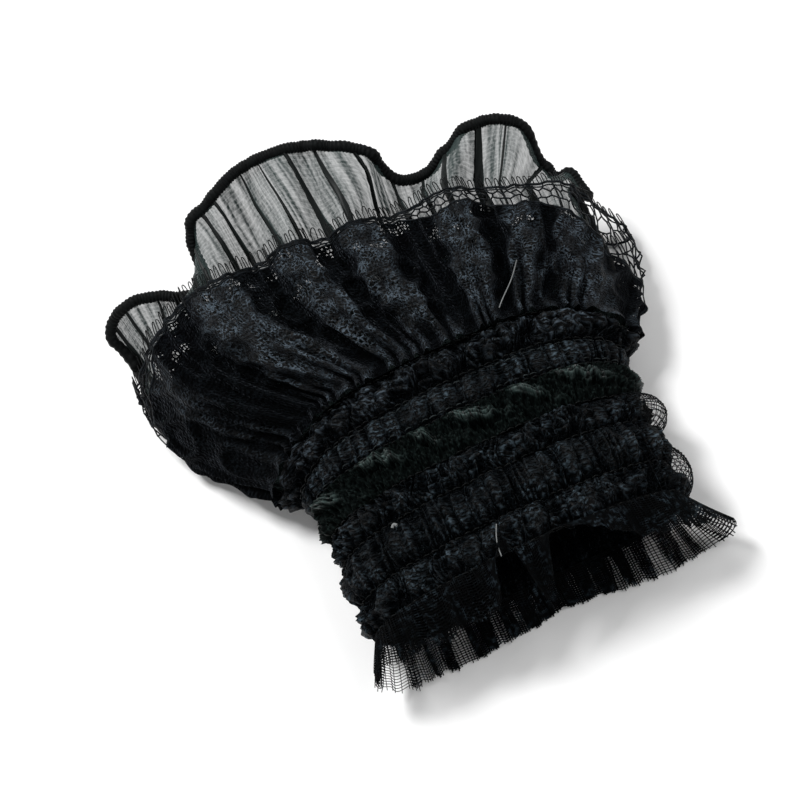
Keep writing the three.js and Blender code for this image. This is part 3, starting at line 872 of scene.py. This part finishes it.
class CUFF_OT_rows(CuffOperator, bpy.types.Operator):
    """The gathered rows of net between lines of stitching"""

    bl_idname = "cuff.rows"
    bl_label = "Gathered rows"

    def build(self):
        net = cloth_material("gathered_net", colours().net, 0.0021, 0.0012)
        heading = cloth_material("gathered_lace", colours().lace, 0.0017, 0.0015)
        for node, look in ROW_LOOKS.items():
            is_heading = node == "lace_heading"
            piece = gathered_row(node, dict(zip(ROW_COLUMNS, look)))
            dress(piece, "lace" if is_heading else "net", heading if is_heading else net, node)


# Two lines of ribbon shells: share of the row's width, offset in turns, half length, half width, height
SHELLS = ((0.64, 0.0, 0.0062, 0.0021, 1.0), (0.28, 0.5, 0.0045, 0.0014, 0.45))


class CUFF_OT_ribbon(CuffOperator, bpy.types.Operator):
    """The ribbon drawn up along a zigzag into slanted shells"""

    bl_idname = "cuff.ribbon"
    bl_label = "Ribbon ruche"

    def build(self):
        s = sizes()
        at, along = grid_shares(*RIBBON_GRID)
        start, end = row_ends("ribbon_ruche")
        phase = folds(at, s.shell_pitch, 31, 0.25)
        width = end - start
        out = np.zeros_like(at)
        for side, offset, long, wide, share in SHELLS:
            # Each shell leans down to the right, seen from above
            across = -(np.mod(phase + offset + 0.5, 1.0) - 0.5) * s.shell_pitch
            up = (along - side) * width
            lengthwise, sideways = 0.82 * across - 0.57 * up, 0.57 * across + 0.82 * up
            sideways = sideways + 0.0006 * waves(at, 40, 38)
            shell = 1 - (lengthwise / long) ** 2 - (sideways / np.where(sideways < 0, 0.6, 1.3) / wide) ** 2
            streaks = 0.76 + 0.24 * np.cos(TURN * sideways / 0.0011 + 2 * waves(at, 30, 39))
            out = np.maximum(out, share * np.clip(shell, 0, 1) ** 0.6 * streaks)
        y = start + along * width + 0.0006 * waves(at, 12, 34)
        wrinkle = np.cos(TURN * (folds(at, 0.0016, 33, 0.6) + 2 * along)) * 0.0002 * (1 - out)
        wrinkle = wrinkle + 0.0009 * creases(at, y, 0.0032, 35, 1.4) * (1 - 0.8 * out)
        wrinkle = wrinkle + 0.0004 * creases(at, y, 0.0016, 36, 1.4) * (1 - out)
        press = SECTION.press(at)
        high = 0.0014 + s.puff * out * (0.8 + 0.2 * waves(at, 10, 37)) + wrinkle
        high = high * (1 - press) + press * (SLEEVE_LOW.z - 0.0003)
        crown = np.sin(math.pi * np.clip(along * 0.96 + 0.02, 0, 1)) ** 0.3
        points = SECTION.place(at, 0.0003 + high * crown, y)
        # relief: the shells and the wrinkles' crests are painted lighter, and the pressed underside painted
        # dark as shade
        relief = (out + 250 * wrinkle * (1 - out)) * (1 - press)
        piece = cloth_grid("ribbon_ruche_cloth", points, (SECTION.girth * 2, 0.014), relief)
        dress(piece, "satin", ribbon_material("sheen_ribbon", colours().ribbon), "ribbon_ruche")


class CUFF_OT_stitches(CuffOperator, bpy.types.Operator):
    """The lines of stitches and elastic in the valleys between the rows"""

    bl_idname = "cuff.stitches"
    bl_label = "Stitches"

    def build(self):
        lines = [row_ends(node)[0] for node in ROW_WIDTHS] + [row_ends("lace_heading")[1]]
        band = row_ends("stitched_band")
        lines += [band[0] + 0.0012, band[1] - 0.0012]
        count = round(SECTION.girth / STITCH_PITCH)
        starts = np.arange(count)[:, None] / count
        steps = np.linspace(0, 1, 5)[None]
        arch = np.sin(math.pi * steps)
        parts = []
        for k, y in enumerate(lines):
            at = starts + steps * 0.8 * STITCH_PITCH / SECTION.girth
            out = 0.0009 + 0.0005 * arch + 0.0003 * waves(at, 40, 50 + k)
            out = np.where(SECTION.press(at) > 0.2, 0.0012, out)
            place = y + 0.0002 * waves(at, 12, 60 + k)
            stitches = strand_arrays(SECTION.place(at, out, place), STITCH, 4)
            parts.append(stitches)
        # The band's own two lines, the last ones, are drawn lighter
        piece = joined("stitching", parts[:-2])
        dress(piece, "thread", thread_material("stitch_thread", colours().thread))
        piece = joined("band_stitching", parts[-2:])
        dress(piece, "thread", thread_material("light_stitches", colours().thread, light=22.0))


def z_fold(share, overlap):
    """A tuck in cloth coordinates: the place in its pitch and the layer, 1 above and -1 below."""
    cloth = share * (1 + 2 * overlap)
    turned, back = 0.5 + overlap / 2, 0.5 + 1.5 * overlap
    place = np.where(cloth < turned, cloth, np.where(cloth < back, 2 * turned - cloth, cloth - 2 * overlap))
    from_middle = (cloth - (0.5 + overlap)) / (1.5 * overlap + 1e-9)
    return place, -np.sin(math.pi * np.clip(from_middle, -1, 1))


def tucked(at, pitch_count, overlap, seed):
    """Shares round the cuff after the cloth is laid in tucks, and the tucks' layers."""
    rng = np.random.default_rng(seed)
    uneven = rng.uniform(0.35, 1.5, pitch_count)
    turns = np.mod(at, 1.0) * pitch_count
    k = np.floor(turns).astype(int) % pitch_count
    place, layer = z_fold(turns - np.floor(turns), overlap * uneven[k])
    round_at = (np.floor(turns) + place) / pitch_count
    return round_at + 0.3 / pitch_count * waves(round_at, pitch_count / 3, seed + 1), layer


NET_TUCKS = 34


def net_frill_points(at, along):
    """The net frill from its seam (0) to its raw edge (1)."""
    s = sizes()
    turned, layer = tucked(at, NET_TUCKS, 0.75 - 0.3 * along, 71)
    out = s.net_flare * table_curve(NET_EDGE, "out", turned) * along
    reach = s.net_length * table_curve(NET_EDGE, "reach", turned)
    out = out + 0.0007 * layer * (0.5 + 0.5 * along) + 0.0008 * waves(turned, 45, 73) * along
    y = SLEEVE_LOW.y + 0.0006 - along * reach * (1 + 0.05 * waves(at, 60, 72))
    points = SECTION.place(turned, 0.0010 + out, y)
    drop = s.net_drop * table_curve(NET_EDGE, "drop", turned) * np.clip(along, 0, 1) ** 1.6
    floor = 0.0005 + 0.001 * (drop > 0)
    points[..., 2] = np.maximum(points[..., 2] - np.maximum(drop, 0), floor)
    return points


def net_closeness(at):
    """How thick the net's threads look: closest in the middle below, uneven elsewhere."""
    corners = beside(at, 0.53, 0.035) + beside(at, 0.94, 0.03)
    return 1.15 + 0.7 * beside(at, 0.76, 0.10) + 0.22 * waves(at, 22, 76) - 0.35 * corners


# Puffs of loose net at the cuff's right side: where they start and end, from the sleeve's wrist end,
# how far they stand out, and the middle of their place round the cuff
SIDE_PUFFS = (
    dict(start=0.0185, end=0.0285, high=0.0058, at=0.985),
    dict(start=0.0005, end=0.0140, high=0.0046, at=0.990),
)


def side_puff(start, end, high, at):
    """Threads of one puff both ways, over a patch of the cuff's side."""
    width, cell = 0.055, sizes().net_cell * 1.2

    def patch(across, along):
        out = high * np.sin(math.pi * np.clip(along, 0, 1)) ** 0.6 * np.cos(math.pi / 2 * across) ** 0.5
        out = out + 0.0006 * waves(across, 5, 78)
        y = SLEEVE_LOW.y + start + along * (end - start)
        return SECTION.place(at + width * across, 0.0012 + out, y)

    long_way = round((end - start) / cell)
    round_way = round(2 * width * SECTION.girth / cell)
    across, along = np.meshgrid(np.linspace(-0.98, 0.98, round_way), np.linspace(0, 1, 14), indexing="ij")
    lengthwise = strand_arrays(patch(across, along), PUFF_THREAD)
    along, across = np.meshgrid(np.linspace(0, 1, long_way), np.linspace(-0.98, 0.98, 24), indexing="ij")
    return [lengthwise, strand_arrays(patch(across, along), PUFF_THREAD)]


class CUFF_OT_net_frill(CuffOperator, bpy.types.Operator):
    """The short frill of square net round the wrist opening, thread by thread"""

    bl_idname = "cuff.net_frill"
    bl_label = "Net frill"

    def build(self):
        s = sizes()
        threads = round(SECTION.girth * 2.2 / s.net_cell)
        rounds = round(s.net_length / (s.net_cell * 0.9))
        rng = np.random.default_rng(75)
        at = np.arange(threads)[:, None] / threads
        along = np.linspace(0, 1, 10)[None] * rng.uniform(0.96, 1.04, (threads, 1))
        at, along = np.broadcast_arrays(at, along)
        lengthwise = strand_arrays(net_frill_points(at, along), NET_LONG_WAY * net_closeness(at))
        along, at = np.meshgrid(np.linspace(0.03, 0.95, rounds), np.arange(1400) / 1400, indexing="ij")
        thick = NET_ROUND_WAY * net_closeness(at)
        crosswise = strand_arrays(net_frill_points(at, along), thick, closed=True)
        thread = net_thread_material("net_thread", colours().net)
        piece = joined("net_frill_threads", [lengthwise, crosswise])
        dress(piece, "net", thread, "net_frill")
        piece = joined("side_puff_threads", [part for puff in SIDE_PUFFS for part in side_puff(**puff)])
        dress(piece, "net", thread)


def lace_base(at, along):
    return flare(at, SEAM + along * (lace_end(at) - SEAM))


def lace_points(at, along):
    """The lace in fine gathers at the seam that open into flutes."""
    s = sizes()
    away = np.clip(1 - along, 0, 1)
    gather = np.cos(TURN * folds(at, s.tuck_pitch, 80, 0.8)) * away**2 * 0.0013
    pleat = np.cos(TURN * folds(at, s.pleat_pitch, 81, 0.6)) * (0.3 + 0.7 * away) * 0.0009
    swell = np.sin(math.pi * np.clip(along, 0, 1)) ** 0.7
    crease = creases(at, along * 0.045, 0.006, 82, 2.0) * swell * 0.0010
    ripple = 0.0005 * waves(at, 75, 83) * np.clip(along, 0, 1) ** 2
    push = gather + pleat * np.minimum(1, 6 * np.clip(along, 0, 1)) + crease + ripple
    return pushed(lace_base, at, along, np.maximum(push, -0.0008), 0.0005)


def border_start(at):
    """Where the openwork begins along the lace: shallow on top, deep at the cuff's two sides."""
    top_right = smooth((0.22 - at) / 0.06) * smooth((at - 0.01) / 0.03)
    deep = 0.26 + 0.6 * top_right + 1.8 * beside(at, 0.51, 0.04) + 2.3 * beside(at, 0.972, 0.07)
    depth = sizes().border * (deep + 0.12 * waves(at, 16, 84))
    return 1 - depth / (lace_end(at) - SEAM)


def crests(points, reach=60, depth=0.0026):
    """About a half where a tube of cloth lies at its own level, 1 on its crests and 0 in its valleys."""
    z = points[..., 2]
    level = sum(np.roll(z, shift, 0) for shift in range(-reach, reach + 1, 6)) / (reach // 3 + 1)
    return 0.45 + (z - level) / depth


def lace_cut():
    """The lace's flat cut: the length of its free edge."""
    at = np.arange(EDGE_STEPS) / EDGE_STEPS
    return edge_length(lace_points(at, np.ones_like(at)))


class CUFF_OT_lace(CuffOperator, bpy.types.Operator):
    """The ground of the fluted lace frill"""

    bl_idname = "cuff.lace"
    bl_label = "Lace"

    def build(self):
        at, level = grid_shares(*LACE_GRID)
        points = lace_points(at, level * border_start(at))
        cut = lace_cut()
        depth = float(np.linalg.norm(np.diff(points, axis=1), axis=2).sum(1).mean())
        # Two deep hollows at the left stay dark: painted shade, lowered in the relief that the material
        # reads
        lit = 1 - 0.85 * beside(at, 0.435, 0.028) - 0.55 * beside(at, 0.495, 0.035)
        piece = cloth_grid("lace_ground", points, (cut, depth), crests(points) * lit)
        dress(piece, "lace", lace_material("lace_net", colours().lace), "lace_frill")


class CUFF_OT_lace_border(CuffOperator, bpy.types.Operator):
    """The openwork border of the lace with its edge cord and the loops past it"""

    bl_idname = "cuff.lace_border"
    bl_label = "Lace border"

    def build(self):
        cut = lace_cut()
        pitch, rows = 0.0028, 3
        cells = round(cut / pitch)
        rng = np.random.default_rng(91)
        # Corners of uneven six-sided cells, as shares of the cut and of the border's depth
        i, j = np.meshgrid(np.arange(cells * 2), np.arange(rows + 1), indexing="ij")
        zigzag = ((i + j) % 2) * 0.33
        jitter = rng.uniform(-0.24, 0.24, (2, cells * 2, rows + 1))
        u = (i + jitter[0]) / (cells * 2)
        v = np.clip((j + zigzag - 0.16 + jitter[1]) / rows, 0, 1)
        v[:, 0], v[:, -1] = -0.05, 1.0
        share = np.linspace(0, 1, 4)

        def bars(u0, v0, u1, v1):
            at = u0[..., None] + (u1 - u0)[..., None] * share
            down = v0[..., None] + (v1 - v0)[..., None] * share
            start = border_start(at)
            return lace_points(at, start + down * (1 - start)).reshape(-1, len(share), 3)

        ahead = np.roll(u, -1, 0).copy()
        ahead[-1] += 1
        rings = bars(u, v, ahead, np.roll(v, -1, 0))
        up = ((i + j) % 2 == 1)[:, :-1]
        posts = bars(u[:, :-1][up], v[:, :-1][up], u[:, 1:][up], v[:, 1:][up])
        parts = [strand_arrays(rings, CELL_RING), strand_arrays(posts, CELL_POST)]
        at = np.arange(LACE_GRID[0]) / LACE_GRID[0]
        start = border_start(at)
        for level, radius in ((1.0, EDGE_CORD), (0.86, CELL_POST), (-0.02, CELL_RING)):
            line = lace_points(at, start + level * (1 - start))
            parts.append(strand_arrays(line[None], radius, 4, closed=True))
        piece = joined("lace_border_threads", parts)
        dress(piece, "lace", thread_material("lace_thread", colours().lace))
        self.loops(cut)

    def loops(self, cut):
        """Narrow loops of thread that stand past the edge cord."""
        s = sizes()
        count = round(cut / LOOP_PITCH)
        rng = np.random.default_rng(95)
        at = (np.arange(count) + rng.uniform(-0.15, 0.15, count))[:, None] / count
        turn = np.linspace(0, math.pi, 9)[None]
        half = LOOP_HALF / cut
        long = s.lash / s.lace_length * rng.uniform(0.8, 1.1, (count, 1))
        side = -np.cos(turn) * half * (1 + 0.2 * np.sin(turn))
        lean = rng.uniform(-1, 1, (count, 1)) * half
        along = 1 + long * np.sin(turn) ** 0.6
        paths = lace_points(at + side + lean * np.sin(turn), along)
        piece = joined("lace_edge_loops", [strand_arrays(paths, LOOP)])
        dress(piece, "thread", thread_material("loop_thread", colours().thread), "lace_edge_cord")


def past_lace(at, along):
    """How far a place of the organza is past the lace's edge: 0 under the lace, 1 at its own edge."""
    end = organza_end(at)
    start = np.minimum(lace_end(at) + PAST_EDGE, end)
    return np.clip((SEAM + along * (end - SEAM) - start) / np.maximum(end - start, 1e-4), 0, None)


def organza_base(at, along):
    """The organza's surface: close under the lace, and past it towards its own free edge."""
    end = organza_end(at)
    y = SEAM + along * (end - SEAM)
    n = SECTION.sample(SECTION.out, at)
    inwards = np.stack([n[..., 0], np.zeros_like(at), n[..., 1]], -1) * (LACE_LAYER - ORGANZA_LAYER)
    under = flare(at, np.minimum(y, lace_end(at) + PAST_EDGE)) - inwards
    past = past_lace(at, along)[..., None]
    return under + (edge_place(ORGANZA_EDGE, at, end) - under) * past


def organza_tucked(at, along):
    """Shares round the cuff of the organza in tucks that narrow towards its edge, and their layers."""
    count = round(SECTION.girth / sizes().tuck_pitch)
    return tucked(at, count, 0.50 - 0.40 * np.clip(along, 0, 1), 101)


def edge_sway(at):
    """How far the organza's edge sways out of its surface."""
    return 0.0008 * waves(at, 40, 103)


def organza_points(at, along):
    """The organza with its tucks, which fan out past the lace."""
    free = past_lace(at, along)
    turned, layer = organza_tucked(at, along)
    turned = turned + FAN * beside(at, 0.26, 0.14) * free
    loose = edge_sway(turned) + 0.0006 * creases(turned, along * 0.06, 0.009, 104, 3.0)
    return pushed(organza_base, turned, along, 0.0003 * layer + loose * np.minimum(free, 1), 0.0016)


class CUFF_OT_organza(CuffOperator, bpy.types.Operator):
    """The longer see-through frill behind the lace, in small tucks"""

    bl_idname = "cuff.organza"
    bl_label = "Organza"

    def build(self):
        at, along = grid_shares(*ORGANZA_GRID)
        points = organza_points(at, along)
        cut = edge_length(points[:, -1])
        depth = float(np.linalg.norm(np.diff(points, axis=1), axis=2).sum(1).mean())
        # 1 in the turned part of each tuck, where three layers lie on each other; the material makes it
        # denser there and paints it darker as shade
        tucks = np.abs(organza_tucked(at, along)[1])
        piece = cloth_grid("organza_sheer", points, (cut, depth), tucks, ORGANZA_GRID[2])
        dress(piece, "organza", organza_material("sheer_organza", colours().organza), "organza_frill")
        edge = self.rolled_edge()

    def rolled_edge(self):
        """The thick overlocked edge, with its thread turning round it."""
        radius = sizes().rolled_edge / 2
        at = np.arange(EDGE_STEPS) / EDGE_STEPS
        line = pushed(organza_base, at, np.ones_like(at), edge_sway(at), radius + 0.0003)
        twist = 1 + 0.07 * np.cos(TURN * 420 * at) + 0.06 * waves(at, 90, 105)
        edge = joined("organza_edge_cord", [strand_arrays(line[None], radius * twist[None], 8, closed=True)])
        overlock = thread_material("overlock", colours().thread, light=3.0)
        return dress(edge, "thread", overlock, "organza_rolled_edge")


class CUFF_OT_loose_threads(CuffOperator, bpy.types.Operator):
    """Two pale ends of thread that lie on the lace and on the hem, and a speck of lint"""

    bl_idname = "cuff.loose_threads"
    bl_label = "Loose threads"

    def build(self):
        share = np.linspace(0, 1, 12)
        wave = np.sin(math.pi * share)
        at, y = 0.106 + 0.030 * share, SEAM + 0.0100 - 0.0085 * share
        on_lace = flare(at, y) + np.array([0, 0, 0.0026]) + wave[:, None] * np.array([0.0008, 0.0003, 0.0])
        at, out = 0.268 + 0.012 * share + 0.003 * wave, 0.0042 - 0.001 * share
        on_hem = SECTION.place(at, out, SLEEVE_LOW.y + 0.0062 - 0.0072 * share)
        on_puff = SECTION.place(0.386 + 0.007 * share, 0.0046, SLEEVE_LOW.y + 0.0172 + 0.0006 * wave)
        parts = [
            strand_arrays(on_lace[None], 0.00014, 6),
            strand_arrays(on_hem[None], 0.00013, 6),
            strand_arrays(on_puff[None], LINT, 6),
        ]
        piece = joined("loose_threads", parts)
        dress(piece, "thread", thread_material("pale_thread", colours().pale, light=1.0))


class CUFF_OT_stage(CuffOperator, bpy.types.Operator):
    """The pale floor, the soft light and the camera"""

    bl_idname = "cuff.stage"
    bl_label = "Stage"

    ELEVATION, ROLL, LENS, SENSOR, FRAME_WIDTH = 60.0, -25.0, 100.0, 36.0, 0.190
    # Each light's name, place, width and power
    LIGHTS = (
        ("key_light", (-0.35, 0.55, 0.9), 0.4, 13.5),
        ("fill_light", (0.7, -0.1, 0.8), 0.7, 5.0),
        ("front_light", (-0.2, -0.9, 0.7), 0.6, 2.5),
    )

    def build(self):
        scene = bpy.context.scene
        scene.view_settings.view_transform = "Standard"
        self.floor()
        middle = Vector((-0.0045, 0.0, 0.016))
        for name, place, width, power in self.LIGHTS:
            lamp = bpy.data.lights.new(name, "AREA")
            lamp.size, lamp.energy = width, power
            light = new_object(name, lamp)
            light.location = place
            light.rotation_euler = (middle - Vector(place)).to_track_quat("-Z", "Y").to_euler()
        scene.world = bpy.data.worlds.new("pale_room")
        scene.world.use_nodes = True
        sky = scene.world.node_tree.nodes["Background"]
        sky.inputs["Color"].default_value = (1, 1, 1, 1)
        sky.inputs["Strength"].default_value = 0.16
        self.camera(scene, middle)

    def floor(self):
        s = Shading("pale_floor")
        grain = s.noise(40, 2)
        s.tones(grain, colours().floor, 0.99, 1.0)
        s.set(Roughness=0.9)
        corners = [(-3, -3, 0), (3, -3, 0), (3, 3, 0), (-3, 3, 0)]
        floor = new_object("floor", mesh_from("floor", corners, np.array([[0, 1, 2, 3]])))
        floor.data.materials.append(s.material)

    def camera(self, scene, middle):
        lens = bpy.data.cameras.new("camera")
        lens.lens, lens.sensor_width = self.LENS, self.SENSOR
        lens.clip_start, lens.clip_end = 0.01, 20
        camera = new_object("camera", lens)
        rise = math.radians(self.ELEVATION)
        back = Vector((0, -math.cos(rise), math.sin(rise)))
        facing = (-back).to_track_quat("-Z", "Y").to_matrix()
        roll = Matrix.Rotation(math.radians(self.ROLL), 3, "Z")
        camera.location = middle + back * (self.FRAME_WIDTH * self.LENS / self.SENSOR)
        camera.rotation_euler = (facing @ roll).to_euler()
        scene.camera = camera


class CUFF_PT_panel(bpy.types.Panel):
    bl_idname = "CUFF_PT_panel"
    bl_label = "Lace cuff"
    bl_space_type = "VIEW_3D"
    bl_region_type = "UI"
    bl_category = "Cuff"

    def draw(self, context):
        for group in (context.scene.cuff_sizes, context.scene.cuff_colours):
            box = self.layout.box()
            for name in group.__annotations__:
                box.prop(group, name)
        for operator in OPERATORS:
            self.layout.operator(operator.bl_idname)


OPERATORS = (
    CUFF_OT_stage,
    CUFF_OT_sleeve,
    CUFF_OT_rows,
    CUFF_OT_ribbon,
    CUFF_OT_stitches,
    CUFF_OT_net_frill,
    CUFF_OT_lace,
    CUFF_OT_lace_border,
    CUFF_OT_organza,
    CUFF_OT_loose_threads,
)
CLASSES = (CuffSizes, CuffColours, *OPERATORS, CUFF_PT_panel)


def register():
    for cls in CLASSES:
        bpy.utils.register_class(cls)
    bpy.types.Scene.cuff_sizes = bpy.props.PointerProperty(type=CuffSizes)
    bpy.types.Scene.cuff_colours = bpy.props.PointerProperty(type=CuffColours)


def unregister():
    del bpy.types.Scene.cuff_colours
    del bpy.types.Scene.cuff_sizes
    for cls in reversed(CLASSES):
        bpy.utils.unregister_class(cls)


def main():
    register()
    bpy.ops.cuff.stage()
    bpy.ops.cuff.sleeve()
    bpy.ops.cuff.rows()
    bpy.ops.cuff.ribbon()
    bpy.ops.cuff.stitches()
    bpy.ops.cuff.net_frill()
    bpy.ops.cuff.lace()
    bpy.ops.cuff.lace_border()
    bpy.ops.cuff.organza()
    bpy.ops.cuff.loose_threads()


if __name__ == "__main__":
    main()
